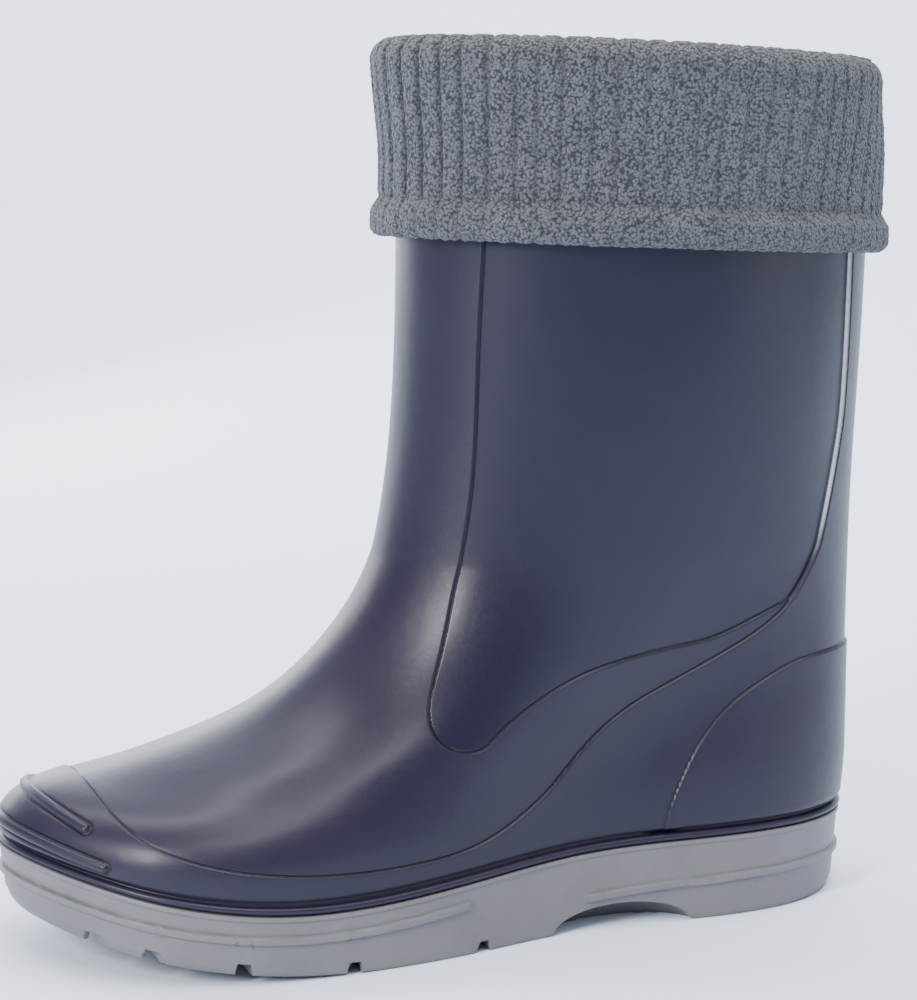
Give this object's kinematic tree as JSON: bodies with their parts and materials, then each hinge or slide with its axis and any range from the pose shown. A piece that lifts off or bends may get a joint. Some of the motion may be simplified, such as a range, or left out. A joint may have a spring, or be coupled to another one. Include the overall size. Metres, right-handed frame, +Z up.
{
  "type": "rubber boot",
  "caption": "Child's rain boot for the left foot: hollow moulded upper, ridged sole with arch and toe spring, and a ribbed knit cuff folded over the collar.",
  "frame": {"origin": "on the floor, on the flat tread under the middle of the heel", "axes": "+X towards the toe, +Y towards the outer side of the foot, +Z up"},
  "size_m": [0.2256, 0.0988, 0.213],
  "materials": {
    "upper_pvc": "navy soft PVC, satin with a glossy side panel",
    "sole_pvc": "warm grey moulded PVC, satin",
    "insole_felt": "grey felt",
    "cuff_knit": "grey ribbed fleece knit, matt and fuzzy"
  },
  "bodies": {
    "root": {"upper": "upper_pvc", "outsole": "sole_pvc", "insole": "insole_felt", "knit_cuff": "cuff_knit"}
  },
  "joints": []
}
